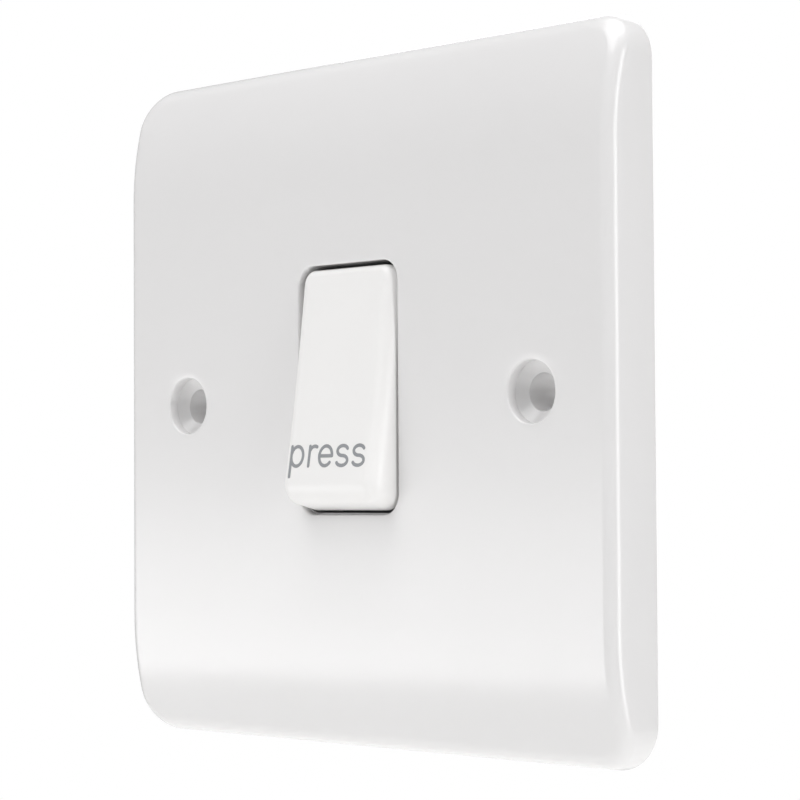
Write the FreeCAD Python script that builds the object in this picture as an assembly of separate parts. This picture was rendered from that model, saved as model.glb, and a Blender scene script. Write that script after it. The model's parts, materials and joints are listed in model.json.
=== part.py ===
import FreeCAD, Part
import math
import os

# One-gang moulded wall switch with a spring-return rocker marked for pressing.
# Millimetres. The wall is the plane y = 0, the front of the switch looks along -Y,
# the mechanism stands behind the wall plane, +Z is up and +X is right seen from the front.

V = FreeCAD.Vector
ORIGIN = V(0, 0, 0)
AXIS_X = V(1, 0, 0)
AXIS_Y = V(0, 1, 0)

# Cuts run this far past the faces they open, and edges this close lie together
overshoot = 1.0
same_place = 0.01

# Front plate
plate_size = 86.0
plate_depth = 6.8
plate_corner_r = 5.5
plate_wall = 2.4
skirt_wall = 2.2
side_draft = 0.8
end_curve_r = 38.0
end_curve_start = 27.5
face_edge_r = 1.9
rib_t = 1.2
rib_h = 2.0

# Fixing holes for two M3.5 screws
fixing_pitch = 60.3
fixing_hole_r = 2.25
fixing_mouth_r = 3.65
fixing_mouth_depth = 1.4
fixing_cone_depth = 0.9
fixing_boss_r = 5.4

# Rocker window in the plate, and the collar behind it
mech_z = 1.3
window_w = 17.4
window_h = 30.9
window_corner_r = 2.6
window_edge = 0.5
collar_wall = 2.4
collar_skin = 0.8
collar_setback = 0.6

# Rocker
rocker_side_gap = 0.35
rocker_end_gap = 0.4
rocker_wall = 1.6
rocker_proud = 1.5
rocker_dish_r = 380.0
rocker_edge_r = 1.0
rocker_hub_half = 3.6
rocker_hub_rear = 1.7
rocker_end_rear = 0.3
rest_tilt = 9.0
pivot_depth = 2.8
trunnion_r = 1.2
trunnion_length = 1.85
pivot_clearance = 0.05
slot_end_clearance = 0.15

# Plunger that the rocker drives across the contact blade
plunger_r = 1.65
plunger_rear = 0.6
plunger_nose_flats = 3
plunger_nose_sweep = 75.0
plunger_clearance = 0.08
plunger_tip_gap = 0.1
boss_wall = 1.2
boss_reach = 4.2

# Springs
coil_chords = 14
wire_sides = 6
plunger_spring_wire = 0.36
plunger_spring_turns = 4
return_spring_wire = 0.5
return_spring_r = 1.95
return_spring_turns = 5
return_spring_land = 1.8
spring_seat_gap = 0.12
spring_side_gap = 0.15
spigot_height = 1.6
spigot_chamfer = 0.3

# Chamber cover between plate and base
cover_t = 1.4
cover_window_gap = 0.7
cover_edge_r = 1.5
finger_clearance = 0.1

# Contact blade and silver tips
blade_cover_gap = 2.0
blade_tilt = 7.8
blade_width = 5.0
blade_t = 0.8
blade_overhang = 1.6
blade_corner_r = 1.44
blade_set = 0.5
contact_reach = 10.0
tip_r = 1.5
tip_h = 0.6
fixed_tip_r = 1.7
fixed_tip_h = 0.6
closed_gap = 0.06
saddle_r = 0.6
saddle_clearance = 0.05
saddle_hook_wall = 0.6
saddle_hook_depth = 0.15

# Contact strips
strip_t = 0.8
strip_width = 5.2
strip_end = 2.4

# Terminals
terminal_x = 8.2
terminal_length = 8.0
terminal_width = 7.0
terminal_wall = 1.3
terminal_edge = 0.4
wire_bore_r = 2.0
wire_bore_length = 7.0
screw_r = 1.7
screw_clearance = 0.05
screw_head_r = 2.4
screw_head_h = 1.6
screw_travel = 2.9
screw_tip_gap = 0.1
screw_seat_gap = 0.15
screw_slot_w = 0.7
screw_slot_depth = 0.8

# Mechanism base
base_wall = 1.8
base_floor = 2.4
base_edge_r = 1.2
pocket_clearance = 0.1
chamber_half_w = 3.8
well_clearance = 0.25
well_wall = 1.0
wire_entry_clearance = 1.05
strip_hole_clearance = 0.2

# Screws that hold base and cover to the plate
post_r = 2.6
post_floor = 1.0
post_lap = 0.5
ear_t = 2.4
base_screw_r = 1.2
base_screw_head_r = 2.3
base_screw_head_h = 1.5
base_screw_fit = 0.03
base_screw_tip_gap = 0.4
ear_hole_clearance = 0.2
recess_w = 0.7
recess_depth = 0.8

# Worked-out places
face_y = -plate_depth
face_inner_y = face_y + plate_wall
half_plate = plate_size / 2
pivot_y = face_y + pivot_depth
cover_y = -collar_setback
base_y = cover_y + cover_t
rocker_w = window_w - 2 * rocker_side_gap
rocker_end_r = window_h / 2 - rocker_end_gap
rocker_corner_r = window_corner_r - rocker_side_gap
slot_r = trunnion_r + pivot_clearance
slot_end = rocker_w / 2 + trunnion_length + slot_end_clearance
collar_half_w = slot_end + collar_skin
collar_half_h = window_h / 2 + collar_wall
boss_r = plunger_r + plunger_clearance + boss_wall
bore_end = rocker_wall - pivot_depth - rocker_proud
cover_window_half_w = boss_r + cover_window_gap
cover_window_half_h = cover_window_half_w + boss_reach * math.sin(math.radians(rest_tilt))
return_spring_outer_r = return_spring_r + return_spring_wire / 2
return_spring_z = -(cover_window_half_h + return_spring_land + return_spring_outer_r)
tilt_rad = math.radians(blade_tilt)
blade_rear = -blade_set
blade_front = blade_rear - blade_t
blade_reach = contact_reach + blade_overhang
blade_y = base_y + blade_cover_gap + blade_reach * math.sin(tilt_rad) - blade_front
tip_face = blade_rear + tip_h
closed_y = blade_y + tip_face * math.cos(tilt_rad) + (contact_reach + tip_r) * math.sin(tilt_rad)
fixed_tip_y = closed_y + closed_gap
strip_y = fixed_tip_y + fixed_tip_h
floor_y = strip_y + strip_t
base_rear_y = floor_y + base_floor
wire_y = base_y + terminal_wall + wire_bore_r
screw_tip_y = wire_y + wire_bore_r + screw_tip_gap
screw_head_y = floor_y + screw_seat_gap + screw_travel
well_end_y = screw_head_y + screw_head_h
well_r = screw_head_r + well_clearance
screw_x = terminal_x + terminal_length / 2
terminal_end_x = terminal_x + terminal_length
base_left_x = -chamber_half_w - base_wall
base_right_x = terminal_end_x + pocket_clearance + base_wall
base_half_h = contact_reach + terminal_width / 2 + pocket_clearance + base_wall
ear_z = max(collar_half_h, base_half_h) + post_r - post_lap
terminal_places = {"upper": contact_reach, "common": 0.0, "lower": -contact_reach}


def block(x0, x1, y0, y1, z0, z1):
    return Part.makeBox(x1 - x0, y1 - y0, z1 - z0, V(x0, y0, z0))


def rod_y(radius, x, z, y0, y1):
    return Part.makeCylinder(radius, y1 - y0, V(x, y0, z), AXIS_Y)


def rod_x(radius, y, z, x0, x1):
    return Part.makeCylinder(radius, x1 - x0, V(x0, y, z), AXIS_X)


def rounded_wire(half_w, half_h, radius, y):
    """Rounded rectangle about the Y axis, in the plane at y."""
    straight_w = half_w - radius
    straight_h = half_h - radius
    slant = radius * math.sqrt(0.5)
    edges = []
    for sx, sz, flip in ((1, 1, False), (-1, 1, True), (-1, -1, False), (1, -1, True)):
        side = V(sx * half_w, y, sz * straight_h)
        middle = V(sx * (straight_w + slant), y, sz * (straight_h + slant))
        end = V(sx * straight_w, y, sz * half_h)
        first, last = (end, side) if flip else (side, end)
        if edges:
            edges.append(Part.LineSegment(edges[-1].EndPoint, first))
        edges.append(Part.Arc(first, middle, last))
    edges.append(Part.LineSegment(edges[-1].EndPoint, edges[0].StartPoint))
    return Part.Wire([edge.toShape() for edge in edges])


def rounded_prism(half_w, half_h, radius, y0, y1):
    face = Part.Face(rounded_wire(half_w, half_h, radius, y0))
    return face.extrude(V(0, y1 - y0, 0))


def turned(points):
    """Solid of revolution about the Y axis from (radius, y) corners."""
    corners = [V(radius, y, 0) for radius, y in points]
    outline = Part.Face(Part.makePolygon(corners + corners[:1]))
    return outline.revolve(ORIGIN, AXIS_Y, 360)


def moved(shape, x, y, z):
    copy = shape.copy()
    copy.translate(V(x, y, z))
    return copy


def tilted(shape, y, degrees):
    """Copy turned about the X-wise axis through (y, mech_z)."""
    copy = shape.copy()
    copy.rotate(V(0, y, mech_z), AXIS_X, degrees)
    return copy


def at_rest(shape):
    """Rocker pieces are drawn square to the plate, then leaned to their rest."""
    return tilted(shape, pivot_y, -rest_tilt)


def plate_body(inset, wall):
    """Plate form: face curved at both ends, drafted sides, rounded corners."""
    half = half_plate - inset
    depth = plate_depth - wall
    radius = end_curve_r - wall
    run = half - end_curve_start
    drop = radius - math.sqrt(radius ** 2 - run ** 2)
    middle = run / 2
    middle_drop = radius - math.sqrt(radius ** 2 - middle ** 2)
    lines = []
    for sign in (1, -1):
        tip = V(-half, -depth + drop, sign * half)
        bend = V(-half, -depth + middle_drop, sign * (end_curve_start + middle))
        start = V(-half, -depth, sign * end_curve_start)
        lines.append(Part.Arc(start, bend, tip).toShape())
        lines.append(Part.LineSegment(tip, V(-half, 0, sign * half)).toShape())
    flat_ends = (V(-half, -depth, end_curve_start), V(-half, -depth, -end_curve_start))
    lines.append(Part.LineSegment(*flat_ends).toShape())
    lines.append(Part.LineSegment(V(-half, 0, half), V(-half, 0, -half)).toShape())
    profile = Part.Face(Part.Wire(Part.__sortEdges__(lines)))
    swept = profile.extrude(V(2 * half, 0, 0))
    front = half - side_draft
    sides = Part.makeWedge(-front, face_y, -front, -half, -half, front, 0, front, half, half)
    corners = [edge for edge in sides.Edges if edge.BoundBox.YLength > plate_depth / 2]
    return swept.common(sides.makeFillet(plate_corner_r - inset, corners))


def is_face_edge(edge):
    """Edges round the face of the plate, without the seams where its curve begins."""
    box = edge.BoundBox
    in_front = box.YMax < -face_edge_r
    seam = box.XLength > plate_size / 2 and abs(box.Center.z) < half_plate - plate_corner_r
    return in_front and not seam


def front_plate():
    outer = plate_body(0, 0)
    outer = outer.makeFillet(face_edge_r, [edge for edge in outer.Edges if is_face_edge(edge)])
    hollow = plate_body(skirt_wall, plate_wall)
    plate = outer.cut(hollow)
    adds = []
    for side in (1, -1):
        x = side * fixing_pitch / 2
        adds.append(rod_y(fixing_boss_r, x, 0, face_inner_y, 0))
        adds.append(rod_y(post_r, 0, mech_z + side * ear_z, face_inner_y, cover_y))
    collar = rounded_prism(collar_half_w, collar_half_h, window_corner_r + collar_wall, face_inner_y, cover_y)
    adds.append(moved(collar, 0, 0, mech_z))
    rib_end = half_plate - skirt_wall / 2
    rib_y = face_inner_y + rib_h
    adds.append(block(-rib_end, rib_end, face_inner_y, rib_y, -rib_t / 2, rib_t / 2))
    adds.append(block(-rib_t / 2, rib_t / 2, face_inner_y, rib_y, -end_curve_start, end_curve_start))
    plate = plate.fuse(adds).removeSplitter()
    window = rounded_prism(window_w / 2, window_h / 2, window_corner_r, face_y - overshoot, overshoot)
    plate = plate.cut(moved(window, 0, 0, mech_z))
    rim = [edge for edge in plate.Edges if on_window_rim(edge)]
    plate = plate.makeChamfer(window_edge, rim)
    cuts = []
    hole = turned([(0, face_y - overshoot), (fixing_mouth_r, face_y - overshoot),
                   (fixing_mouth_r, face_y + fixing_mouth_depth),
                   (fixing_hole_r, face_y + fixing_mouth_depth + fixing_cone_depth),
                   (fixing_hole_r, overshoot), (0, overshoot)])
    for side in (1, -1):
        cuts.append(moved(hole, side * fixing_pitch / 2, 0, 0))
        cuts.append(rod_y(base_screw_r + base_screw_fit, 0, mech_z + side * ear_z,
                          face_inner_y + post_floor, overshoot))
    cuts.append(rod_x(slot_r, pivot_y, mech_z, -slot_end, slot_end))
    cuts.append(block(-slot_end, slot_end, pivot_y, overshoot, mech_z - slot_r, mech_z + slot_r))
    return plate.cut(cuts)


def on_window_rim(edge):
    box = edge.BoundBox
    flat = abs(box.YMin - face_y) < same_place and abs(box.YMax - face_y) < same_place
    inside = abs(box.Center.x) < window_w and abs(box.Center.z - mech_z) < window_h
    return flat and inside and max(box.XLength, box.ZLength) < window_h


def rocker_section(inset, rear, end_r):
    """Side outline of the rocker: dished face, ends round about its axis, V-shaped back."""
    dish = rocker_dish_r + inset
    crown = -pivot_depth - rocker_proud + inset
    centre = crown - dish
    # The dished face ends on the swing circle: both circles have their centre on the Y axis.
    meet_y = (end_r ** 2 - dish ** 2 + centre ** 2) / (2 * centre)
    meet_z = math.sqrt(end_r ** 2 - meet_y ** 2)
    tail_y = rocker_end_rear + rear
    tail_z = math.sqrt(end_r ** 2 - tail_y ** 2)
    hub_y = rocker_hub_rear + rear
    lines = []
    lines.append(Part.Arc(V(0, meet_y, -meet_z), V(0, crown, 0), V(0, meet_y, meet_z)))
    for sign in (1, -1):
        tail = V(0, tail_y, sign * tail_z)
        hub = V(0, hub_y, sign * rocker_hub_half)
        lines.append(Part.Arc(V(0, meet_y, sign * meet_z), V(0, 0, sign * end_r), tail))
        lines.append(Part.LineSegment(tail, hub))
    lines.append(Part.LineSegment(V(0, hub_y, rocker_hub_half), V(0, hub_y, -rocker_hub_half)))
    edges = [line.toShape() for line in lines]
    return Part.Face(Part.Wire(Part.__sortEdges__(edges)))


def rocker_swing():
    """Barrel round the rocker's axis: its ends pass the window at an even gap, with rounded corners."""
    half = rocker_w / 2
    shoulder = rocker_end_r - rocker_corner_r
    slant = rocker_corner_r * math.sqrt(0.5)
    lines = [Part.LineSegment(V(half, 0, 0), V(-half, 0, 0))]
    for sign in (1, -1):
        side = V(sign * half, shoulder, 0)
        middle = V(sign * (half - rocker_corner_r + slant), shoulder + slant, 0)
        top = V(sign * (half - rocker_corner_r), rocker_end_r, 0)
        lines.append(Part.LineSegment(V(sign * half, 0, 0), side))
        lines.append(Part.Arc(side, middle, top))
    lines.append(Part.LineSegment(lines[2].EndPoint, lines[4].EndPoint))
    edges = [line.toShape() for line in lines]
    return Part.Face(Part.Wire(Part.__sortEdges__(edges))).revolve(ORIGIN, AXIS_X, 360)


def rocker():
    half = rocker_w / 2
    body = moved(rocker_section(0, 0, rocker_end_r + rocker_wall), -half, 0, 0).extrude(V(rocker_w, 0, 0))
    body = body.common(rocker_swing())
    front = [edge for edge in body.Edges if is_rocker_front(edge)]
    body = body.makeFillet(rocker_edge_r, front)
    inner_half = half - rocker_wall
    cavity = rocker_section(rocker_wall, rocker_hub_rear, rocker_end_r - rocker_wall)
    cavity = moved(cavity, -inner_half, 0, 0).extrude(V(2 * inner_half, 0, 0))
    body = body.cut(cavity)
    bore_r = plunger_r + plunger_clearance
    boss = rod_y(boss_r, 0, 0, bore_end - rocker_wall / 2, boss_reach)
    reach = half + trunnion_length
    pins = rod_x(trunnion_r, 0, 0, -reach, reach)
    pins = pins.cut(block(-inner_half, inner_half, -trunnion_r, trunnion_r, -trunnion_r, trunnion_r))
    body = body.fuse([boss, pins]).removeSplitter()
    body = body.cut(rod_y(bore_r, 0, 0, bore_end, boss_reach + overshoot))
    return at_rest(moved(body, 0, pivot_y, mech_z))


def is_rocker_front(edge):
    box = edge.BoundBox
    return box.YMax < -pivot_depth - rocker_proud / 2


def plunger_length():
    """From the rocker's axis to the centre of the round nose, which just clears the leaned blade."""
    offset = blade_y - pivot_y
    reach = offset * math.cos(tilt_rad) + blade_front - plunger_r - plunger_tip_gap
    return reach / math.cos(math.radians(rest_tilt) + tilt_rad)


def plunger():
    """Pin whose round nose is turned in a few flats, all inside the ball of the pin's radius."""
    centre = plunger_length()
    outline = [(0, plunger_rear), (plunger_r, plunger_rear)]
    for flat in range(plunger_nose_flats + 1):
        around = math.radians(plunger_nose_sweep * flat / plunger_nose_flats)
        outline.append((plunger_r * math.cos(around), centre + plunger_r * math.sin(around)))
    outline.append((0, outline[-1][1]))
    return at_rest(moved(turned(outline), 0, pivot_y, mech_z))


def coil(radius, wire, turns, length):
    """Compression spring along +Y, from y = 0 to length, lofted through flat-sided wire sections."""
    rise = length - wire
    steps = round(turns * coil_chords)
    sections = []
    for step in range(steps + 1):
        along = math.radians(360 * step / coil_chords)
        y = wire / 2 + rise * step / steps
        rim = []
        for side in range(wire_sides + 1):
            around = math.radians(360 * side / wire_sides)
            reach = radius + wire / 2 * math.cos(around)
            height = y + wire / 2 * math.sin(around)
            rim.append(V(reach * math.cos(along), height, reach * math.sin(along)))
        sections.append(Part.makePolygon(rim))
    return Part.makeLoft(sections, True, True)


def plunger_spring():
    room = plunger_rear - bore_end
    radius = plunger_r - plunger_spring_wire / 2
    spring = coil(radius, plunger_spring_wire, plunger_spring_turns, room - 2 * spring_seat_gap)
    return at_rest(moved(spring, 0, pivot_y + bore_end + spring_seat_gap, mech_z))


def return_spring():
    lean = math.radians(rest_tilt)
    near_z = return_spring_z + return_spring_outer_r
    reach = -bore_end / math.cos(lean) - near_z * math.tan(lean)
    room = cover_y - pivot_y + reach
    spring = coil(return_spring_r, return_spring_wire, return_spring_turns, room - 2 * spring_seat_gap)
    return moved(spring, 0, cover_y - room + spring_seat_gap, mech_z + return_spring_z)


def mechanism_outline(left, right, y0, y1):
    """Block with rounded corners behind the plate."""
    middle = (left + right) / 2
    half = (right - left) / 2
    return moved(rounded_prism(half, base_half_h, base_edge_r, y0, y1), middle, 0, mech_z)


def ears(y0, y1):
    """One lug above and one below, each round a screw."""
    lugs = []
    for side in (1, -1):
        z = mech_z + side * ear_z
        root = sorted((mech_z + side * (base_half_h - base_wall), z))
        lugs.append(rod_y(post_r, 0, z, y0, y1))
        lugs.append(block(-post_r, post_r, y0, y1, root[0], root[1]))
    return lugs


def ear_holes(y0, y1):
    radius = base_screw_r + ear_hole_clearance
    return [rod_y(radius, 0, mech_z + side * ear_z, y0, y1) for side in (1, -1)]


def chamber_cover():
    body = mechanism_outline(-collar_half_w, base_right_x, cover_y, base_y)
    body = body.fuse(ears(cover_y, base_y)).removeSplitter()
    window = rounded_prism(cover_window_half_w, cover_window_half_h, cover_edge_r,
                           cover_y - overshoot, base_y + overshoot)
    body = body.cut([moved(window, 0, 0, mech_z)] + ear_holes(cover_y - overshoot, base_y + overshoot))
    adds = []
    half = slot_r - finger_clearance
    inner = window_w / 2 + finger_clearance
    outer = rocker_w / 2 + trunnion_length
    for side in (1, -1):
        x0, x1 = sorted((side * inner, side * outer))
        finger = block(x0, x1, pivot_y, base_y, mech_z - half, mech_z + half)
        adds.append(finger.cut(rod_x(slot_r, pivot_y, mech_z, x0 - overshoot, x1 + overshoot)))
    spigot_r = return_spring_r - return_spring_wire / 2 - spring_side_gap
    spigot = turned([(0, base_y), (spigot_r, base_y), (spigot_r, cover_y - spigot_height + spigot_chamfer),
                     (spigot_r - spigot_chamfer, cover_y - spigot_height), (0, cover_y - spigot_height)])
    adds.append(moved(spigot, 0, 0, mech_z + return_spring_z))
    return body.fuse(adds).removeSplitter()


def mechanism_base():
    body = mechanism_outline(base_left_x, base_right_x, base_y, base_rear_y)
    bar_half_w = well_r + well_wall
    bar_half_h = contact_reach + bar_half_w
    bar = rounded_prism(bar_half_w, bar_half_h, base_edge_r, floor_y, well_end_y)
    body = body.fuse(ears(base_y, base_y + ear_t) + [moved(bar, screw_x, 0, mech_z)]).removeSplitter()
    cuts = ear_holes(base_y - overshoot, base_y + ear_t + overshoot)
    chamber_half_h = base_half_h - base_wall
    cuts.append(block(-chamber_half_w, chamber_half_w, base_y - overshoot, floor_y,
                      mech_z - chamber_half_h, mech_z + chamber_half_h))
    lane = strip_width / 2 + pocket_clearance
    room = terminal_width / 2 + pocket_clearance
    for place in terminal_places.values():
        z = mech_z + place
        cuts.append(block(0, terminal_x, base_y - overshoot, floor_y, z - lane, z + lane))
        cuts.append(block(terminal_x - pocket_clearance, terminal_end_x + pocket_clearance,
                          base_y - overshoot, floor_y, z - room, z + room))
        cuts.append(rod_y(well_r, screw_x, z, floor_y - overshoot, well_end_y + overshoot))
        entry_r = wire_bore_r + wire_entry_clearance
        cuts.append(rod_x(entry_r, wire_y, z, terminal_end_x, base_right_x + overshoot))
    return body.cut(cuts)


def terminal_block(place):
    z = mech_z + place
    half = terminal_width / 2
    body = block(terminal_x, terminal_end_x, base_y, strip_y, z - half, z + half)
    long_edges = [edge for edge in body.Edges if edge.BoundBox.XLength > terminal_edge * 4
                  and edge.BoundBox.YLength + edge.BoundBox.ZLength < same_place]
    body = body.makeChamfer(terminal_edge, long_edges)
    bore = rod_x(wire_bore_r, wire_y, z, terminal_end_x - wire_bore_length, terminal_end_x + overshoot)
    thread = rod_y(screw_r + screw_clearance, screw_x, z, wire_y, strip_y + overshoot)
    return body.cut([bore, thread])


def contact_strip(place):
    """Flat strip on the chamber floor, from the contact to its terminal."""
    z = mech_z + place
    half = strip_width / 2
    body = block(-strip_end, terminal_end_x, strip_y, floor_y, z - half, z + half)
    hole_r = screw_r + strip_hole_clearance
    return body.cut(rod_y(hole_r, screw_x, z, strip_y - overshoot, floor_y + overshoot))


def common_saddle():
    """Middle strip with an upright tab whose round edge carries the blade."""
    half = blade_width / 2
    tab = block(-half, half, blade_y, floor_y, mech_z - saddle_r, mech_z + saddle_r)
    ridge = rod_x(saddle_r, blade_y, mech_z, -half, half)
    strip = contact_strip(terminal_places["common"])
    return strip.fuse([tab, ridge]).removeSplitter()


def contact_blade():
    """See-saw blade with a hooked middle that sits on the saddle."""
    half = blade_width / 2
    groove_r = saddle_r + saddle_clearance
    hook_r = groove_r + saddle_hook_wall
    leaf = block(-half, half, blade_front, blade_rear, -blade_reach, blade_reach)
    ends = [edge for edge in leaf.Edges if edge.BoundBox.YLength > blade_t / 2]
    leaf = leaf.makeFillet(blade_corner_r, ends)
    hook = rod_x(hook_r, 0, 0, -half, half)
    past = half + overshoot
    hook_past = hook_r + overshoot
    hook = hook.cut(block(-past, past, saddle_hook_depth, hook_past, -hook_past, hook_past))
    blade = leaf.fuse(hook).removeSplitter()
    cuts = [rod_x(groove_r, 0, 0, -past, past)]
    cuts.append(block(-past, past, 0, hook_r, -groove_r, groove_r))
    return tilted(moved(blade.cut(cuts), 0, blade_y, mech_z), blade_y, blade_tilt)


def moving_tip(side):
    """Silver disc on one end of the blade."""
    disc = rod_y(tip_r, 0, mech_z + side * contact_reach, blade_y + blade_rear, blade_y + tip_face)
    return tilted(disc, blade_y, blade_tilt)


def fixed_tip(side):
    return rod_y(fixed_tip_r, 0, mech_z + side * contact_reach, fixed_tip_y, strip_y)


def terminal_screw(place):
    """Slotted cheese-head screw, backed out clear of the wire bore."""
    body = turned([(0, screw_tip_y), (screw_r, screw_tip_y), (screw_r, screw_head_y),
                   (screw_head_r, screw_head_y), (screw_head_r, well_end_y), (0, well_end_y)])
    slot_past = screw_head_r + overshoot
    slot = block(-slot_past, slot_past, well_end_y - screw_slot_depth, well_end_y + overshoot,
                 -screw_slot_w / 2, screw_slot_w / 2)
    return moved(body.cut(slot), screw_x, 0, mech_z + place)


def base_screw(side):
    """Pan-head screw through base and cover into a post of the plate."""
    seat_y = base_y + ear_t
    tip_y = face_inner_y + post_floor + base_screw_tip_gap
    top_y = seat_y + base_screw_head_h
    body = turned([(0, tip_y), (base_screw_r, tip_y), (base_screw_r, seat_y),
                   (base_screw_head_r, seat_y), (base_screw_head_r, top_y), (0, top_y)])
    half = recess_w / 2
    long_half = base_screw_head_r - recess_w
    for a, b in ((half, long_half), (long_half, half)):
        body = body.cut(block(-a, a, top_y - recess_depth, top_y + overshoot, -b, b))
    return moved(body, 0, 0, mech_z + side * ear_z)


def all_parts():
    parts = {"front_plate": front_plate(), "rocker": rocker(), "plunger": plunger()}
    parts["plunger_spring"] = plunger_spring()
    parts["return_spring"] = return_spring()
    parts["chamber_cover"] = chamber_cover()
    parts["mechanism_base"] = mechanism_base()
    parts["contact_blade"] = contact_blade()
    parts["common_saddle"] = common_saddle()
    for name, place in terminal_places.items():
        parts[name + "_terminal_block"] = terminal_block(place)
        parts[name + "_terminal_screw"] = terminal_screw(place)
    for name, side in (("upper", 1), ("lower", -1)):
        parts[name + "_contact_strip"] = contact_strip(terminal_places[name])
        parts[name + "_moving_tip"] = moving_tip(side)
        parts[name + "_fixed_tip"] = fixed_tip(side)
        parts[name + "_base_screw"] = base_screw(side)
    return parts


os.makedirs("parts", exist_ok=True)
for name, shape in all_parts().items():
    shape.exportStep(os.path.join("parts", name + ".step"))
    print(name, len(shape.Solids), shape.isValid(), round(shape.Volume, 2))
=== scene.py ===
import bmesh
import bpy
import json
import math
import numpy as np
from mathutils import Matrix, Vector


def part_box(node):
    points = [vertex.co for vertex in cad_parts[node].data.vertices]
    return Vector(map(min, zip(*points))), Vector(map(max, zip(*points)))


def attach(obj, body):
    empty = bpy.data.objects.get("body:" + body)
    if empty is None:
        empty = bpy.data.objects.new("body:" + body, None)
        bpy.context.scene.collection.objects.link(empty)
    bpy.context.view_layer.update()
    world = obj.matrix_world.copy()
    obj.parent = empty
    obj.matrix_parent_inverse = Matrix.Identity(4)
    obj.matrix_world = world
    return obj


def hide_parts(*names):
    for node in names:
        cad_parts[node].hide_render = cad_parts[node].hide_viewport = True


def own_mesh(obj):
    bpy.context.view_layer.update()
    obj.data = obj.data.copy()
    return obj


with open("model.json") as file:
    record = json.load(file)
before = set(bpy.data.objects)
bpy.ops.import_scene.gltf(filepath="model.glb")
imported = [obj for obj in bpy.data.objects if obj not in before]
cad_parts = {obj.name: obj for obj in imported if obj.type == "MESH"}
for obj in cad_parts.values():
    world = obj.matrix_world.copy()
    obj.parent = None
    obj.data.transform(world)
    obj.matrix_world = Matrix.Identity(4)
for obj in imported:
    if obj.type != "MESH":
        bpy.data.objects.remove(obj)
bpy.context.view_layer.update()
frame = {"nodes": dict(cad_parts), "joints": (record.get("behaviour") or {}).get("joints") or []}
mm = 0.001
joints = {joint["name"]: joint for joint in frame["joints"]}
print("frame loaded:", len(frame["nodes"]), "nodes")


def cadBox(node):  # corners of a CAD node in millimetres
    low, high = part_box(node)
    return np.array(low) / mm, np.array(high) / mm


# Colours: each sRGB channel c is c/12.92 up to 0.04045, else ((c + 0.055)/1.055) to the power 2.4.
def linear(hexColour):
    c = np.array([int(hexColour[i:i + 2], 16) for i in (1, 3, 5)]) / 255
    light = np.where(c <= 0.04045, c / 12.92, ((c + 0.055) / 1.055) ** 2.4)
    return (*light.tolist(), 1.0)


def addNode(tree, kind, settings=None, values=None, links=None):
    node = tree.nodes.new(kind)
    for name, value in (settings or {}).items():
        setattr(node, name, value)
    for socket, value in (values or {}).items():
        node.inputs[socket].default_value = value
    for socket, source in (links or {}).items():
        tree.links.new(source, node.inputs[socket])
    return node


# A finish is a Principled surface. Its colour drifts between two hex values over patchSize, its roughness
# between two values over grainSize, and its bump has bumpHeight over bumpSize, all in millimetres of the
# real surface.
def makeFinish(look):
    material = bpy.data.materials.new(look["name"])
    material.use_nodes = True
    tree = material.node_tree
    tree.nodes.clear()
    place = addNode(tree, "ShaderNodeTexCoord").outputs["Object"]
    stretch = addNode(tree, "ShaderNodeMapping", values={"Scale": look.get("stretch", (1, 1, 1))},
                      links={"Vector": place})
    patch = addNode(tree, "ShaderNodeTexNoise", values={"Scale": 1 / (look["patchSize"] * mm), "Detail": 3.0},
                    links={"Vector": place})
    tint = addNode(tree, "ShaderNodeMix", {"data_type": "RGBA"},
                   {6: linear(look["colours"][0]), 7: linear(look["colours"][1])}, {0: patch.outputs["Fac"]})
    grain = addNode(tree, "ShaderNodeTexNoise", values={"Scale": 1 / (look["grainSize"] * mm), "Detail": 4.0},
                    links={"Vector": stretch.outputs["Vector"]})
    glossiest, dullest = look["roughness"]
    rough = addNode(tree, "ShaderNodeMapRange", values={"To Min": glossiest, "To Max": dullest},
                    links={"Value": grain.outputs["Fac"]})
    swell = addNode(tree, "ShaderNodeTexNoise", values={"Scale": 1 / (look["bumpSize"] * mm), "Detail": 2.0},
                    links={"Vector": stretch.outputs["Vector"]})
    bump = addNode(tree, "ShaderNodeBump", values={"Strength": 1.0, "Distance": look["bumpHeight"] * mm},
                   links={"Height": swell.outputs["Fac"]})
    surface = addNode(tree, "ShaderNodeBsdfPrincipled", links={"Base Color": tint.outputs[2],
                      "Roughness": rough.outputs["Result"], "Normal": bump.outputs["Normal"]})
    for socket, value in look.get("sockets", {}).items():
        surface.inputs[socket].default_value = value
    addNode(tree, "ShaderNodeOutputMaterial", links={"Surface": surface.outputs["BSDF"]})
    return material


# Moulded urea: hard, white right through, with the gloss of a polished mould and a faint ripple in it.
mouldedUrea = makeFinish({
    "name": "mouldedUrea", "colours": ("#e2e1e1", "#dfdede"), "patchSize": 30.0, "grainSize": 1.2,
    "roughness": (0.16, 0.24), "bumpSize": 5.0, "bumpHeight": 0.004, "sockets": {"IOR": 1.56}})
# Rocker urea with painted light: the plate's white urea painted a shade brighter, standing in for the extra light
# that the rocker's upward-leaning face catches from above, with a satin polish from handling.
paintedLightUrea = makeFinish({
    "name": "paintedLightUrea", "colours": ("#eeedec", "#ebeae9"), "patchSize": 14.0, "grainSize": 1.0,
    "roughness": (0.36, 0.46), "bumpSize": 4.0, "bumpHeight": 0.003, "sockets": {"IOR": 1.56}})
# Pad-printed ink: a thin grey film, flatter than the moulding under it.
padPrintInk = makeFinish({
    "name": "padPrintInk", "colours": ("#8b8d90", "#939598"), "patchSize": 1.5, "grainSize": 0.3,
    "roughness": (0.45, 0.6), "bumpSize": 0.25, "bumpHeight": 0.002})
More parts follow.
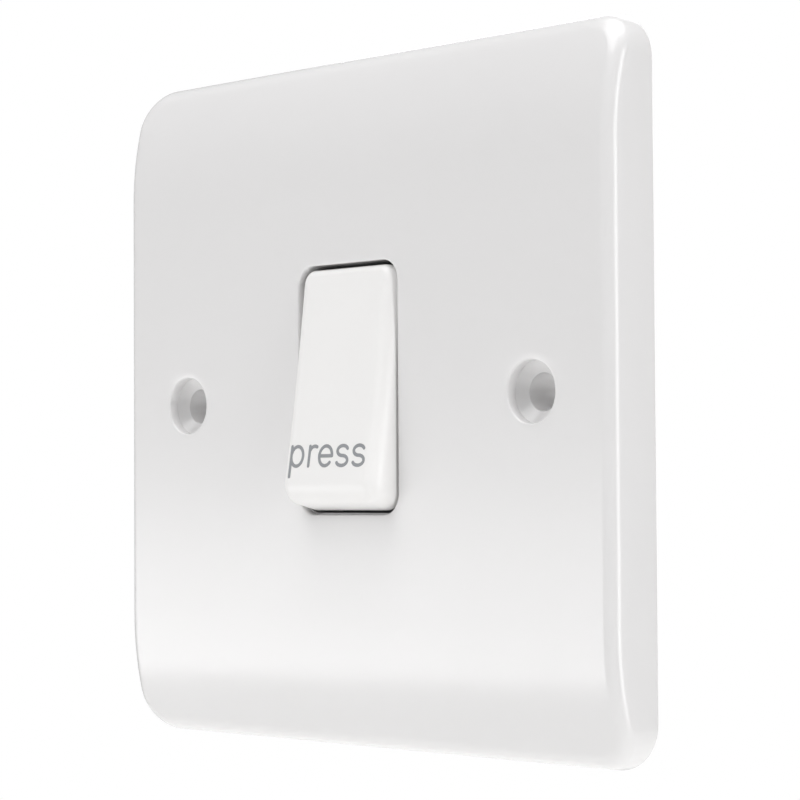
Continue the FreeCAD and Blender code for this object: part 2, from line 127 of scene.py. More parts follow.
# Glass-filled nylon: a grey moulding, dull from the fibres that lie at its skin.
filledNylon = makeFinish({
    "name": "filledNylon", "colours": ("#97989a", "#8d8e91"), "patchSize": 6.0, "grainSize": 0.35,
    "roughness": (0.42, 0.6), "bumpSize": 0.4, "bumpHeight": 0.012, "sockets": {"IOR": 1.53}})
# Polycarbonate with a spark-eroded mould texture: satin white, fine even pits.
erodedPolycarbonate = makeFinish({
    "name": "erodedPolycarbonate", "colours": ("#e6e6e3", "#dfdfdb"), "patchSize": 9.0, "grainSize": 0.5,
    "roughness": (0.34, 0.48), "bumpSize": 0.3, "bumpHeight": 0.008, "sockets": {"IOR": 1.58}})
# Acetal: slippery natural plastic, a little waxy and yellow.
naturalAcetal = makeFinish({
    "name": "naturalAcetal", "colours": ("#e6e2d4", "#ded9c8"), "patchSize": 2.0, "grainSize": 0.4,
    "roughness": (0.3, 0.42), "bumpSize": 0.5, "bumpHeight": 0.004, "sockets": {"Subsurface Weight": 0.1}})
# Drawn spring wire: bright steel with the die's fine lines along it.
drawnWire = makeFinish({
    "name": "drawnWire", "colours": ("#b9bbbf", "#a4a6ab"), "patchSize": 1.0, "grainSize": 0.12,
    "roughness": (0.2, 0.36), "bumpSize": 0.15, "bumpHeight": 0.003, "sockets": {"Metallic": 1.0}})
# Rolled phosphor bronze: warm strip, with the rolling lines drawn along its length.
rolledBronze = makeFinish({
    "name": "rolledBronze", "colours": ("#d49a68", "#c58a59"), "patchSize": 4.0, "grainSize": 0.25,
    "roughness": (0.24, 0.42), "bumpSize": 0.3, "bumpHeight": 0.004, "stretch": (0.15, 1, 1),
    "sockets": {"Metallic": 1.0}})
# Silver contact: pale soft metal, slightly hazed by switching.
contactSilver = makeFinish({
    "name": "contactSilver", "colours": ("#e6e3dc", "#d6d2c9"), "patchSize": 0.8, "grainSize": 0.2,
    "roughness": (0.25, 0.4), "bumpSize": 0.3, "bumpHeight": 0.004, "sockets": {"Metallic": 1.0}})
# Extruded brass: yellow, with drawn lines along the bar and a sawn dullness.
extrudedBrass = makeFinish({
    "name": "extrudedBrass", "colours": ("#d8b766", "#c8a655"), "patchSize": 3.0, "grainSize": 0.2,
    "roughness": (0.22, 0.4), "bumpSize": 0.25, "bumpHeight": 0.005, "stretch": (0.2, 1, 1),
    "sockets": {"Metallic": 1.0}})
# Zinc plate on steel: cool grey with a cloudy passivated bloom.
zincPlate = makeFinish({
    "name": "zincPlate", "colours": ("#c9ccd1", "#b7bac2"), "patchSize": 1.2, "grainSize": 0.3,
    "roughness": (0.24, 0.4), "bumpSize": 0.25, "bumpHeight": 0.004, "sockets": {"Metallic": 1.0}})
print("finishes made:", len(bpy.data.materials))


# A sheet of quads on a grid of rows by columns: square (i, j) joins its own corner to the next row and column,
# and the last column joins the first.
def gridFaces(rows, columns):
    i = np.arange(rows - 1)[:, None] * columns
    j = np.arange(columns)[None, :]
    k = (j + 1) % columns
    return np.stack([i + j, i + k, i + columns + k, i + columns + j], -1).reshape(-1, 4)


# Distances in millimetres and angles in degrees for finishing a mesh: points closer than merge become one, edges
# under sliver go, faces within level are joined before rounding, edges over corner are rounded, and shading breaks
# over crease.
meshCare = {"merge": 2e-4, "sliver": 1e-4, "level": 1, "corner": 40, "crease": 32.0, "roundSteps": 2}


# A part is a pair of arrays, points in millimetres and quads. Parts are put one after another in one mesh,
# coincident points are merged, which closes seams and poles, and every shell is turned to face outwards.
def makePiece(name, parts, finish, body, replaces=()):
    points = np.concatenate([part[0] for part in parts]) * mm
    starts = np.cumsum([0] + [len(part[0]) for part in parts])
    quads = np.concatenate([part[1] + start for part, start in zip(parts, starts)])
    mesh = bpy.data.meshes.new(name)
    mesh.from_pydata(points, [], quads)
    return finishMesh(name, mesh, finish, body, replaces)


def finishMesh(name, mesh, finish, body, replaces, edgeRound=0.0):
    care = meshCare
    shell = bmesh.new()
    shell.from_mesh(mesh)
    bmesh.ops.remove_doubles(shell, verts=shell.verts, dist=care["merge"] * mm)
    bmesh.ops.dissolve_degenerate(shell, edges=shell.edges, dist=care["sliver"] * mm)
    if edgeRound:
        bmesh.ops.dissolve_limit(shell, angle_limit=math.radians(care["level"]), verts=shell.verts,
                                 edges=shell.edges)
        sharp = [edge for edge in shell.edges if edge.calc_face_angle(0) > math.radians(care["corner"])]
        bmesh.ops.bevel(shell, geom=sharp, offset=edgeRound * mm, segments=care["roundSteps"], profile=0.5,
                        affect="EDGES", clamp_overlap=True)
    bmesh.ops.recalc_face_normals(shell, faces=shell.faces)
    shell.to_mesh(mesh)
    shell.free()
    mesh.polygons.foreach_set("use_smooth", np.ones(len(mesh.polygons), bool))
    mesh.set_sharp_from_angle(angle=math.radians(care["crease"]))
    mesh.materials.append(finish)
    piece = bpy.data.objects.new(name, mesh)
    bpy.context.scene.collection.objects.link(piece)
    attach(piece, body)
    if replaces:
        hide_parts(*replaces)
    return piece


# Ring round a rounded rectangle: a core point slides along each side of the inner rectangle and stands still
# at the corners, where the outward direction turns. A point is core + direction * (radius - inset).
ringCounts = {"side": 80, "end": 48, "corner": 16}


def ringOf(halfW, halfH, radius):
    a, b = halfW - radius, halfH - radius
    cores, directions = [], []
    for quarter, (along, count) in enumerate(((b, "side"), (a, "end"), (b, "side"), (a, "end"))):
        turn = quarter * math.pi / 2
        out = np.array([math.cos(turn), math.sin(turn)])
        left = np.array([-out[1], out[0]])
        s = np.linspace(-along, along, ringCounts[count], endpoint=False)[:, None]
        far = a if quarter % 2 == 0 else b
        cores.append(out * far + left * s)
        directions.append(np.repeat(out[None], len(s), 0))
        angle = turn + np.linspace(0, math.pi / 2, ringCounts["corner"], endpoint=False)
        corner = out * far + left * along
        cores.append(np.repeat(corner[None], len(angle), 0))
        directions.append(np.stack([np.cos(angle), np.sin(angle)], -1))
    return np.concatenate(cores), np.concatenate(directions)


def ringPoints(xz, y):  # a ring of (x, z) pairs at depth y
    return np.stack([xz[:, 0], np.broadcast_to(y, len(xz)), xz[:, 1]], -1)


# Rings stacked one after another make a tube or, where a ring is a single repeated point, a closed end.
def stackRings(rings):
    return np.concatenate(rings), gridFaces(len(rings), len(rings[0]))


# Turned shape: (radius, y) profile points carried round an axis along Y through (x, z).
def turnedPart(profile, x, z, steps=48):
    angle = np.linspace(0, 2 * math.pi, steps, endpoint=False)
    circle = np.stack([np.cos(angle), np.sin(angle)], -1)
    return stackRings([ringPoints(np.array([x, z]) + circle * radius, y) for radius, y in profile])


# Quarter-round steps from (0, 0) to (1, 1): the first rises along the wall, the second runs in over the face.
def quarterRound(steps):
    angle = np.linspace(0, math.pi / 2, steps)
    return list(zip(1 - np.cos(angle), np.sin(angle)))


plateLow, plateHigh = cadBox("front_plate")
plate = {
    "half": plateHigh[0], "depth": -plateLow[1], "cornerR": 5.5, "wall": 2.4, "skirtWall": 2.2, "draft": 0.8,
    "endR": 38.0, "endStart": 27.5, "edgeR": 1.9, "rimRound": 0.3,
    "windowW": 17.4, "windowH": 30.9, "windowCornerR": 2.6, "windowEdge": 0.22,
    "collarWall": 2.4, "collarRear": -0.6, "collarHalfW": 11.15,
    "slotR": 1.25, "slotDepth": 1.65, "lipDepth": 1.2, "lipSwingR": 15.3,
    "holePitch": 60.3, "mouthR": 3.65, "holeR": 2.25, "mouthDepth": 1.4, "coneDepth": 0.9, "mouthRound": 0.25,
    "bossR": 5.4, "rows": 48, "blockHalf": 10, "fanRings": 6, "postR": 2.6, "pilotR": 1.23, "postFloor": 1.0,
    "postZ": 19.95, "postRound": 0.2, "ribT": 1.2, "ribH": 2.0, "ribRound": 0.25, "sunk": 0.3,
    "edgeSteps": 12, "rimSteps": 5, "windowSteps": 8, "wallLevels": 24, "mouthSteps": 6, "ribSteps": 4,
    "settleRounds": 3}
pivot = np.array(joints["rocker_press"]["pos_m"]) / mm
mechZ = pivot[2]


# Depth of the plate's face, or of its inner face at wall below it: flat between the end curves, then a circle.
def faceDepth(z, wall=0.0):
    radius = plate["endR"] - wall
    run = np.maximum(np.abs(z) - plate["endStart"], 0)
    return wall - plate["depth"] + radius - np.sqrt(radius ** 2 - run ** 2)


# Face between an outer and an inner ring: straight lines from ring to ring, with a block of squares left out
# round each fixing hole and a fan of rings from the block's border to the hole's circle.
def holedFace(outer, inner, holeR, wall):
    rows, blockHalf = plate["rows"], plate["blockHalf"]
    columns = len(outer)
    share = np.linspace(0, 1, rows + 1)[:, None, None]
    xz = (1 - share) * outer + share * inner
    points = np.concatenate([ringPoints(ring, faceDepth(ring[:, 1], wall)) for ring in xz])
    keep = np.ones((rows, columns), bool)
    fans, circles = [], []
    half = ringCounts["side"] // 2
    for middle, holeX in ((half, plate["holePitch"] / 2), (columns // 2 + half, -plate["holePitch"] / 2)):
        row = np.abs(np.abs(xz[:, middle, 0]) - abs(holeX)).argmin()
        r0, r1, c0, c1 = row - blockHalf, row + blockHalf, middle - blockHalf, middle + blockHalf
        keep[r0:r1, c0:c1] = False
        r, c = np.arange(r0, r1), np.arange(c0, c1)
        border = np.concatenate([xz[r0, c], xz[r, c1], xz[r1, c + 1][::-1], xz[r + 1, c0][::-1]])
        centre = np.array([holeX, 0.0])
        start = np.arctan2(*(border[0] - centre)[::-1])
        nextOne = np.arctan2(*(border[1] - centre)[::-1])
        turn = 1 if (nextOne - start) % (2 * math.pi) < math.pi else -1
        angle = start + turn * np.linspace(0, 2 * math.pi, len(border), endpoint=False)
        circle = np.stack([np.cos(angle), np.sin(angle)], -1)
        steps = np.linspace(0, 1, plate["fanRings"])[:, None, None]
        fan = (1 - steps) * border + steps * (centre + circle * holeR)
        fans.append(stackRings([ringPoints(ring, faceDepth(ring[:, 1], wall)) for ring in fan]))
        circles.append((centre, circle))
    return [(points, gridFaces(rows + 1, columns)[keep.ravel()])] + fans, circles


def buildPlate():
    p = plate
    core, out = ringOf(p["half"], p["half"], p["cornerR"])
    slope = p["draft"] / p["depth"]

    def outline(inset):
        return core + out * (p["cornerR"] - inset)[:, None]

    # Edge ring: in from the drafted wall by edgeR (1 - cos a), up to edgeR (1 - sin a) under the curved face.
    def edgeRing(inward, upward):
        inset = np.full(len(core), p["draft"])
        for settle in range(p["settleRounds"]):
            wallTop = faceDepth(outline(inset)[:, 1]) + p["edgeR"]
            inset = slope * -wallTop + p["edgeR"] * inward
        ring = outline(inset)
        return ringPoints(ring, faceDepth(ring[:, 1]) + p["edgeR"] * (1 - upward))

    edge = [edgeRing(inward, upward) for inward, upward in quarterRound(p["edgeSteps"])]
    level = np.zeros(len(core))
    rim = [ringPoints(outline(level + p["rimRound"] * a), p["rimRound"] * (b - 1))
           for a, b in quarterRound(p["rimSteps"])]
    skirt = level + p["skirtWall"]
    innerTop = outline(skirt + p["draft"] / 2)
    innerTop = outline(skirt - slope * faceDepth(innerTop[:, 1], p["wall"]))
    innerRing = ringPoints(innerTop, faceDepth(innerTop[:, 1], p["wall"]))
    outside = [innerRing, ringPoints(outline(skirt), 0.0)] + rim[::-1] + edge
    windowCore, windowOut = ringOf(p["windowW"] / 2, p["windowH"] / 2, p["windowCornerR"])
    windowCore = windowCore + np.array([0, mechZ])

    downward = np.maximum(-windowOut[:, 1], 0) ** 2

    def windowRing(grow, lip=0.0):
        return windowCore + windowOut * (p["windowCornerR"] + grow - lip * downward)[:, None]

    # The lower wall steps inwards as far as a circle round the pivot, just outside the rocker's end.
    def lipAt(y):
        return p["windowH"] / 2 - math.sqrt(p["lipSwingR"] ** 2 - min(y - pivot[1], 0) ** 2)

    def slotted(ring, y):  # the wall steps out where a trunnion slot runs from the pivot to the rear
        across = np.abs(ring[:, 1] - mechZ)
        reach = pivot[1] - np.sqrt(np.maximum(p["slotR"] ** 2 - across ** 2, 0))
        inSlot = (across < p["slotR"]) & (y > reach)
        return ring + np.stack([np.sign(ring[:, 0]) * p["slotDepth"] * inSlot, 0 * across], -1)

    faceY, innerY = -p["depth"], p["wall"] - p["depth"]
    rounded = [ringPoints(windowRing(p["windowEdge"] * (1 - b)), faceY + p["windowEdge"] * a)
               for a, b in quarterRound(p["windowSteps"])]
    levels = np.linspace(faceY + p["lipDepth"], p["collarRear"], p["wallLevels"])
    wall = [ringPoints(windowRing(0), levels[0])]
    wall += [ringPoints(slotted(windowRing(0, lipAt(y)), y), y) for y in levels]
    collarR = p["windowCornerR"] + p["collarWall"]
    collarCore, collarOut = ringOf(p["collarHalfW"], p["windowH"] / 2 + p["collarWall"], collarR)
    collar = collarCore + np.array([0, mechZ]) + collarOut * collarR
    inside = rounded + wall + [ringPoints(collar, p["collarRear"]), ringPoints(collar, innerY)]
    mouth = p["mouthR"] + p["mouthRound"]
    front, circles = holedFace(edge[-1][:, [0, 2]], windowRing(p["windowEdge"]), mouth, 0.0)
    back, _ = holedFace(innerTop, collar, p["bossR"], p["wall"])
    profile = [(mouth - p["mouthRound"] * b, faceY + p["mouthRound"] * a)
               for a, b in quarterRound(p["mouthSteps"])]
    coneTop = faceY + p["mouthDepth"]
    profile += [(p["mouthR"], coneTop), (p["holeR"], coneTop + p["coneDepth"]), (p["holeR"], 0.0),
                (p["bossR"], 0.0), (p["bossR"], innerY)]
    holes = [stackRings([ringPoints(centre + circle * radius, y) for radius, y in profile])
             for centre, circle in circles]
    return front + back + [stackRings(outside), stackRings(inside)] + holes + plateRibs() + platePosts()


# Bar with rounded corners between two depths: a small lozenge of rings, closed at both ends by a middle point.
def barPart(low, high, rounding):
    low, high = np.array(low), np.array(high)
    centre, half = (low + high) / 2, (high - low) / 2
    core, out = ringOf(half[0], half[2], rounding)
    middle = np.array([centre[0], centre[2]])
    side = core + out * rounding + middle
    pole = np.repeat(middle[None], len(core), 0)
    rings = [ringPoints(pole, low[1]), ringPoints(side, low[1])]
    rings += [ringPoints(core + out * rounding * (1 - a) + middle, high[1] - rounding * (1 - b))
              for a, b in quarterRound(plate["ribSteps"])]
    return stackRings(rings + [ringPoints(pole, high[1])])


# Ribs across the inside of the face, between the collar, the bosses and the skirt, sunk a little into each.
def plateRibs():
    p = plate
    root, half = p["wall"] - p["depth"], p["ribT"] / 2
    sunk, rise = root - p["sunk"], root + p["ribH"]
    inner = p["collarHalfW"] - p["sunk"]
    collarEnd = p["windowH"] / 2 + p["collarWall"] - p["sunk"]
    outer = p["half"] - p["skirtWall"] / 2
    bossReach = p["bossR"] - p["sunk"]
    bossIn, bossOut = p["holePitch"] / 2 - bossReach, p["holePitch"] / 2 + bossReach
    spans = [((-half, sunk, mechZ + collarEnd), (half, rise, p["endStart"])),
             ((-half, sunk, -p["endStart"]), (half, rise, mechZ - collarEnd))]
    for near, far in ((inner, bossIn), (bossOut, outer)):
        spans += [((near, sunk, -half), (far, rise, half)), ((-far, sunk, -half), (-near, rise, half))]
    return [barPart(low, high, p["ribRound"]) for low, high in spans]


# Screw posts: turned, with a pilot hole that ends above the plate's inner face.
def platePosts():
    p = plate
    root = p["wall"] - p["depth"]
    end, floor = p["collarRear"], root + p["postFloor"]
    soft, sunk = p["postRound"], root - p["sunk"]
    profile = [(0, sunk), (p["postR"], sunk), (p["postR"], end - soft), (p["postR"] - soft, end),
               (p["pilotR"] + soft, end), (p["pilotR"], end - soft), (p["pilotR"], floor), (0, floor)]
    return [turnedPart(profile, 0, mechZ + side * p["postZ"]) for side in (1, -1)]


makePiece("frontPlate", buildPlate(), mouldedUrea, "housing", ["front_plate"])
print("plate built")

rocker = {
    "halfW": 8.35, "endR": 15.05, "cornerR": 2.25, "crown": -4.46, "dishR": 380.0, "topRise": 0.5,
    "edgeR": 1.9, "topEdgeR": 0.7, "wall": 1.6, "cavityCornerR": 0.5, "ceiling": -2.7,
    "hubHalf": 3.6, "hubRear": 1.7, "endRear": 0.3, "endRearZ": 16.65, "rimRound": 0.2,
    "bossR": 2.93, "boreR": 1.73, "bossReach": 4.2,
    "pinR": 1.2, "pinRoot": 7.95, "pinEnd": 10.2, "pinChamfer": 0.25, "pinSides": 32, "restTilt": 9.0,
    "faceRings": 40, "ceilingRings": 12, "edgeSteps": 12, "rimSteps": 5, "cavityRimSteps": 4, "settleRounds": 4}


# Drawn square to the plate about the pivot, then leaned: y' = y cos t + z sin t, z' = z cos t - y sin t.
def leaned(part):
    points, quads = part
    t = math.radians(rocker["restTilt"])
    y = points[:, 1] * math.cos(t) + points[:, 2] * math.sin(t)
    z = points[:, 2] * math.cos(t) - points[:, 1] * math.sin(t)
    return np.stack([points[:, 0] + pivot[0], y + pivot[1], z + pivot[2]], -1), quads


# Dished face: a shallow circle in z whose middle lies deepest, with an even rise from the lower to the top end.
def dishDepth(z, under=0.0):
    radius = rocker["dishR"] + under
    rise = rocker["topRise"] * (z / rocker["endR"] + 1) / 2
    return rocker["crown"] - rise + under - radius + np.sqrt(radius ** 2 - z ** 2)


# Back edge of the rocker: level at the hub, then straight up to each end.
def rearDepth(z):
    k = rocker
    beyond = np.maximum(np.abs(z) - k["hubHalf"], 0) / (k["endRearZ"] - k["hubHalf"])
    return k["hubRear"] + (k["endRear"] - k["hubRear"]) * beyond


# A ring of (x, reach) pairs laid on a surface of given depth: past the shoulder, where the corners begin, a
# point keeps its reach from the swing axis, so z is the root of reach squared less y squared. Nearer in, z
# shrinks in step with the shoulder. Depth and z settle each other in a few rounds.
def swungRing(ring, shoulder, depth):
    x, reach = ring[:, 0], ring[:, 1]
    z = reach
    for settle in range(rocker["settleRounds"]):
        y = depth(z)
        far = np.maximum(np.abs(reach), shoulder)
        z = reach * np.sqrt(far ** 2 - y ** 2) / far
    return np.stack([x, depth(z), z], -1)


def buildRocker():
    k = rocker
    core, out = ringOf(k["halfW"], k["endR"], k["cornerR"])
    cavityCore, cavityOut = ringOf(k["halfW"] - k["wall"], k["endR"] - k["wall"], k["cavityCornerR"])
    shoulder = k["endR"] - k["cornerR"]
    upward = np.clip((core[:, 1] + out[:, 1] * k["cornerR"] - shoulder) / k["cornerR"], 0, 1) ** 2
    edgeR = k["edgeR"] + (k["topEdgeR"] - k["edgeR"]) * upward  # soft sides and chin, crisper at the top end

    def outer(inset, depth):
        reach = k["cornerR"] - np.broadcast_to(inset, len(core))
        return swungRing(core + out * reach[:, None], shoulder, depth)

    def cavity(grow, depth):
        return swungRing(cavityCore + cavityOut * (k["cavityCornerR"] + grow),
                         k["endR"] - k["wall"] - k["cavityCornerR"], depth)

    edge = outer(edgeR, dishDepth)[:, [0, 2]]
    rings = [ringPoints(edge * share, dishDepth(edge[:, 1] * share))
             for share in np.linspace(0, 1, k["faceRings"])]
    rings += [outer(edgeR * (1 - b), lambda z: dishDepth(z) + edgeR * a)
              for a, b in quarterRound(k["edgeSteps"])[1:]]
    soft = k["rimRound"]
    rings += [outer(soft * a, lambda z: rearDepth(z) - soft * (1 - b)) for a, b in quarterRound(k["rimSteps"])]
    rings += [cavity(soft * (1 - b), lambda z: rearDepth(z) - soft * a)
              for a, b in quarterRound(k["cavityRimSteps"])]
    ceilingEdge = cavity(0, lambda z: dishDepth(z, k["wall"]))[:, [0, 2]]
    angle = np.arctan2(ceilingEdge[:, 1], ceilingEdge[:, 0])
    circle = np.stack([np.cos(angle), np.sin(angle)], -1)
    for share in np.linspace(0, 1, k["ceilingRings"]):
        xz = (1 - share) * ceilingEdge + share * circle * k["bossR"]
        rings.append(ringPoints(xz, dishDepth(xz[:, 1], k["wall"])))
    boss = [(k["bossR"], k["bossReach"] - soft), (k["bossR"] - soft, k["bossReach"]),
            (k["boreR"] + soft, k["bossReach"]), (k["boreR"], k["bossReach"] - soft),
            (k["boreR"], k["ceiling"]), (0, k["ceiling"])]
    rings += [ringPoints(circle * radius, y) for radius, y in boss]
    pinProfile = [(0, k["pinRoot"]), (k["pinR"], k["pinRoot"]), (k["pinR"], k["pinEnd"] - k["pinChamfer"]),
                  (k["pinR"] - k["pinChamfer"], k["pinEnd"]), (0, k["pinEnd"])]
    points, quads = turnedPart(pinProfile, 0, 0, k["pinSides"])
    pins = [(points[:, [1, 0, 2]] * np.array([side, 1, 1]), quads) for side in (1, -1)]
    return [leaned(stackRings(rings))] + [leaned(pin) for pin in pins]


# The rocker wears the urea painted a shade brighter, as painted light on its face.
makePiece("rockerMoulding", buildRocker(), paintedLightUrea, "rocker", ["rocker"])
print("rocker built")

lettering = {
    "height": 2.44, "stroke": 0.43, "descent": 1.3, "baseline": -10.3, "lift": 0.02, "sunk": 0.04,
    "p": -6.6, "bowlHalf": 1.05, "bowlEnd": 165, "r": -3.38, "armR": 0.86, "armEnd": 64,
    "e": -0.48, "eyeHalf": 1.11, "eyeEnd": 318,
    "s": (2.45, 5.28), "upperHalf": 0.9, "upperStart": 25, "lowerHalf": 0.95, "lowerEnd": -155, "capRows": 7}


# Part of an ellipse about (cx, cz): cx + rx cos a, cz + rz sin a, for a from one angle to another in degrees.
def ellipseArc(cx, cz, rx, rz, start, end, steps=56):
    a = np.radians(np.linspace(start, end, steps))
    return np.stack([cx + rx * np.cos(a), cz + rz * np.sin(a)], -1)


def letterPaths():
    h, half = lettering["height"], lettering["height"] / 2
    p, bowl = lettering["p"], lettering["bowlHalf"]
    r, arm = lettering["r"], lettering["armR"]
    e, eye = lettering["e"], lettering["eyeHalf"]
    paths = [np.array([(p, -lettering["descent"]), (p, h)]),
             ellipseArc(p + bowl, half, bowl, half, lettering["bowlEnd"], -lettering["bowlEnd"])]
    paths += [np.array([(r, 0), (r, h)]), ellipseArc(r + arm, h - arm, arm, arm, 180, lettering["armEnd"])]
    paths += [ellipseArc(e, half, eye, half, 0, lettering["eyeEnd"]),
              np.array([(e - eye, half), (e + eye, half)])]
    for s in lettering["s"]:  # the two bows of an s meet halfway up
        upper = ellipseArc(s, 1.5 * half, lettering["upperHalf"], half / 2, lettering["upperStart"], 270)
        lower = ellipseArc(s, half / 2, lettering["lowerHalf"], half / 2, 90, lettering["lowerEnd"])
        paths.append(np.concatenate([upper, lower[1:]]))
    return paths


# A stroke is a flat ribbon: the path with the pen's half-width to each side, rounded at both ends by rows that
# step out by sin q and narrow by cos q, and a top and an underside that follow the dished face.
def strokePart(path):
    ahead = np.gradient(path, axis=0)
    ahead /= np.linalg.norm(ahead, axis=1)[:, None]
    q = np.linspace(math.pi / 2, 0, lettering["capRows"])[:-1]
    half = lettering["stroke"] / 2
    steps = np.concatenate([-np.sin(q), np.zeros(len(path)), np.sin(q[::-1])])[:, None] * half
    widths = np.concatenate([np.cos(q), np.ones(len(path)), np.cos(q[::-1])])[:, None] * half
    rows = np.concatenate([np.repeat(path[:1], len(q), 0), path, np.repeat(path[-1:], len(q), 0)])
    ways = np.concatenate([np.repeat(ahead[:1], len(q), 0), ahead, np.repeat(ahead[-1:], len(q), 0)])
    across = np.stack([-ways[:, 1], ways[:, 0]], -1)
    middle = rows + ways * steps + np.array([0, lettering["baseline"]])
    left, right = middle + across * widths, middle - across * widths
    top, under = -lettering["lift"], lettering["sunk"]
    corners = [(left, top), (right, top), (right, under), (left, under)]
    points = np.stack([ringPoints(xz, dishDepth(xz[:, 1]) + y) for xz, y in corners], 1).reshape(-1, 3)
    return leaned((points, gridFaces(len(rows), 4)))


makePiece("pressLettering", [strokePart(path) for path in letterPaths()], padPrintInk, "rocker", ())
print("lettering drawn")

returnLow, returnHigh = cadBox("return_spring")
springs = {
    "returnSpring": {"radius": 1.95, "wire": 0.5, "turns": 6.0, "closed": 0.85, "start": returnLow[1],
                     "end": returnHigh[1], "z": (returnLow[2] + returnHigh[2]) / 2, "keep": 0.72},
    "plungerSpring": {"radius": 1.47, "wire": 0.36, "turns": 6.0, "closed": 0.85, "start": -2.58, "end": 0.48,
                      "z": 0.0, "keep": 0.86}}


# Compression spring: the wire's centre runs round the axis while y rises, by one wire a turn over the closed
# end turns and evenly between them. The wire is round, and closes to a point at both cut ends.
def springPart(s, stepsPerTurn=40, sides=12):
    t = np.linspace(0, s["turns"], round(s["turns"] * stepsPerTurn) + 1)
    low, high = s["start"] + s["wire"] / 2, s["end"] - s["wire"] / 2
    closed, lift = s["closed"], s["closed"] * s["wire"]
    rise = np.interp(t, [0, closed, s["turns"] - closed, s["turns"]], [low, low + lift, high - lift, high])
    turn = 2 * math.pi * t
    axis = np.stack([np.cos(turn), np.zeros_like(t), np.sin(turn)], -1)
    around = np.linspace(0, 2 * math.pi, sides, endpoint=False)
    thick = np.concatenate([[0], np.full(len(t), s["wire"] / 2), [0]])
    axis = np.concatenate([axis[:1], axis, axis[-1:]])
    rise = np.concatenate([rise[:1], rise, rise[-1:]])
    reach = s["radius"] + thick[:, None] * np.cos(around)
    points = axis[:, None, :] * reach[..., None]
    points[..., 1] = rise[:, None] + thick[:, None] * np.sin(around)
    points[..., 2] += s["z"]
    return points.reshape(-1, 3), gridFaces(len(rise), sides)


returnSpring = makePiece("returnSpring", [springPart(springs["returnSpring"])], drawnWire, "housing",
                         ["return_spring"])
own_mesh(returnSpring)
plungerSpring = makePiece("plungerSpring", [leaned(springPart(springs["plungerSpring"]))], drawnWire,
                          "rocker", ["plunger_spring"])
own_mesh(plungerSpring)
print("springs wound")


# The pieces behind the plate keep the frame's own shapes, with the small radius that the mould, the press or
# the lathe leaves along their edges.
def edgedCopy(node, finish, body, edgeRound):
    name = node.split("_")[0] + "".join(word.capitalize() for word in node.split("_")[1:])
    mesh = bpy.data.objects[node].data.copy()
    mesh.materials.clear()
    return finishMesh(name, mesh, finish, body, [node], edgeRound)


edged = {  # finish, body, slot and edge radius in millimetres
    "chamber_cover": (filledNylon, "housing", "cover_moulding", 0.04),
    "mechanism_base": (erodedPolycarbonate, "housing", "base_moulding", 0.2),
    "contact_blade": (rolledBronze, "blade", "contact_copper", 0.06),
    "common_saddle": (rolledBronze, "housing", "contact_copper", 0.06),
    "plunger": (naturalAcetal, "plunger", "acetal", 0.08)}
for side in ("upper", "common", "lower"):
    edged[side + "_terminal_block"] = (extrudedBrass, "housing", "terminal_brass", 0.08)
    edged[side + "_terminal_screw"] = (zincPlate, side + "_screw", "plated_steel", 0.12)
for side in ("upper", "lower"):
    edged[side + "_contact_strip"] = (rolledBronze, "housing", "contact_copper", 0.06)
    edged[side + "_fixed_tip"] = (contactSilver, "housing", "silver", 0.1)
    edged[side + "_moving_tip"] = (contactSilver, "blade", "silver", 0.1)
    edged[side + "_base_screw"] = (zincPlate, "housing", "plated_steel", 0.15)
for node, (finish, body, slot, edgeRound) in edged.items():
    edgedCopy(node, finish, body, edgeRound)
print("inner pieces edged:", len(edged))


# Floor, light and camera.
studio = {
    "floorDrop": 0.35, "floorHalf": 1.2, "floorColour": "#f3f3f2", "floorRoughness": 0.7,
    "backdrop": "#ffffff", "skyColour": "#fefeff", "skyStrength": 0.30,
    "softboxes": {  # place and size in metres, power in watts, all aimed at the switch
        "topSoftbox": {"place": (-0.10, -0.50, 0.75), "size": (0.70, 0.50), "power": 3.2},
        "lowLeftSoftbox": {"place": (-0.75, -0.70, -0.22), "size": (0.80, 0.40), "power": 3.2},
        "rightSoftbox": {"place": (0.95, -0.10, 0.12), "size": (0.34, 0.90), "power": 4.1},
        "rearSoftbox": {"place": (-0.55, 0.85, 0.45), "size": (0.60, 0.60), "power": 2.5},
        "overheadWash": {"place": (0.0, 0.0, 1.40), "size": (2.40, 2.40), "power": 11.0, "spread": 60}},
    "cameraPlace": (0.222296, -0.220611, -0.011286), "yaw": 44.9133, "pitch": 2.0725, "roll": -0.334,
    "focalPixels": 2519.71, "framePixels": 800, "sensor": 36.0, "nearest": 0.01}


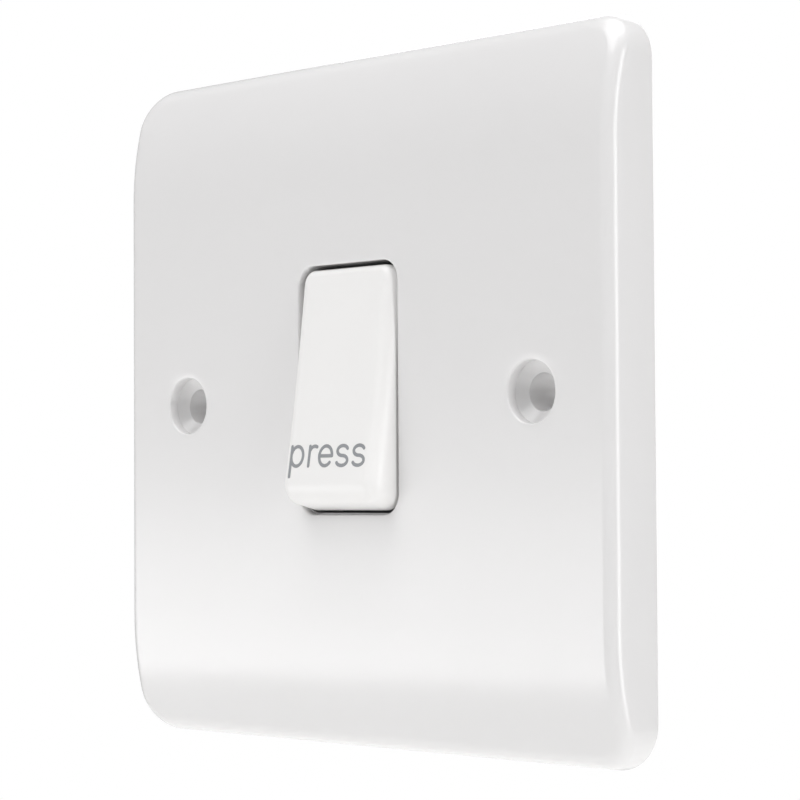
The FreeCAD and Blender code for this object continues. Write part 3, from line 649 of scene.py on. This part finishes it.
def buildStudio():
    s = studio
    scene = bpy.context.scene
    scene.view_settings.view_transform = "Standard"
    half = s["floorHalf"]
    mesh = bpy.data.meshes.new("paleFloor")
    corners = np.array([(-half, -half), (half, -half), (half, half), (-half, half)])
    mesh.from_pydata(np.column_stack([corners, np.full(4, -s["floorDrop"])]), [], [(0, 1, 2, 3)])
    floor = bpy.data.objects.new("paleFloor", mesh)
    scene.collection.objects.link(floor)
    paint = bpy.data.materials.new("paleFloorPaint")
    paint.use_nodes = True
    paint.node_tree.nodes["Principled BSDF"].inputs["Base Color"].default_value = linear(s["floorColour"])
    paint.node_tree.nodes["Principled BSDF"].inputs["Roughness"].default_value = s["floorRoughness"]
    mesh.materials.append(paint)
    world = bpy.data.worlds.new("studioSky")
    world.use_nodes = True
    tree = world.node_tree
    tree.nodes.clear()
    seen = addNode(tree, "ShaderNodeLightPath").outputs["Is Camera Ray"]
    glow = addNode(tree, "ShaderNodeBackground",
                   values={"Color": linear(s["skyColour"]), "Strength": s["skyStrength"]})
    paper = addNode(tree, "ShaderNodeBackground", values={"Color": linear(s["backdrop"]), "Strength": 1.0})
    sky = addNode(tree, "ShaderNodeMixShader", links={0: seen, 1: glow.outputs[0], 2: paper.outputs[0]})
    addNode(tree, "ShaderNodeOutputWorld", links={"Surface": sky.outputs[0]})
    scene.world = world
    for name, box in s["softboxes"].items():
        lamp = bpy.data.lights.new(name, "AREA")
        lamp.shape = "RECTANGLE"
        lamp.size, lamp.size_y = box["size"]
        lamp.energy = box["power"]
        lamp.spread = math.radians(box.get("spread", 180))
        softbox = bpy.data.objects.new(name, lamp)
        softbox.location = box["place"]
        softbox.rotation_euler = (-Vector(box["place"])).to_track_quat("-Z", "Y").to_euler()
        scene.collection.objects.link(softbox)
    yaw, pitch, roll = (math.radians(s[name]) for name in ("yaw", "pitch", "roll"))
    forward = np.array([-math.sin(yaw) * math.cos(pitch), math.cos(yaw) * math.cos(pitch), math.sin(pitch)])
    level = np.array([math.cos(yaw), math.sin(yaw), 0])
    upright = np.cross(level, forward)
    right = math.cos(roll) * level + math.sin(roll) * upright
    up = math.cos(roll) * upright - math.sin(roll) * level
    lens = bpy.data.cameras.new("photoCamera")
    lens.sensor_width = s["sensor"]
    lens.lens = s["focalPixels"] / s["framePixels"] * s["sensor"]
    lens.clip_start = s["nearest"]
    camera = bpy.data.objects.new("photoCamera", lens)
    turned = np.stack([right, up, -forward], -1).tolist()
    placed = [[*row, place] for row, place in zip(turned, s["cameraPlace"])]
    camera.matrix_world = Matrix(placed + [[0, 0, 0, 1]])
    scene.collection.objects.link(camera)
    scene.camera = camera


buildStudio()
print("studio built")
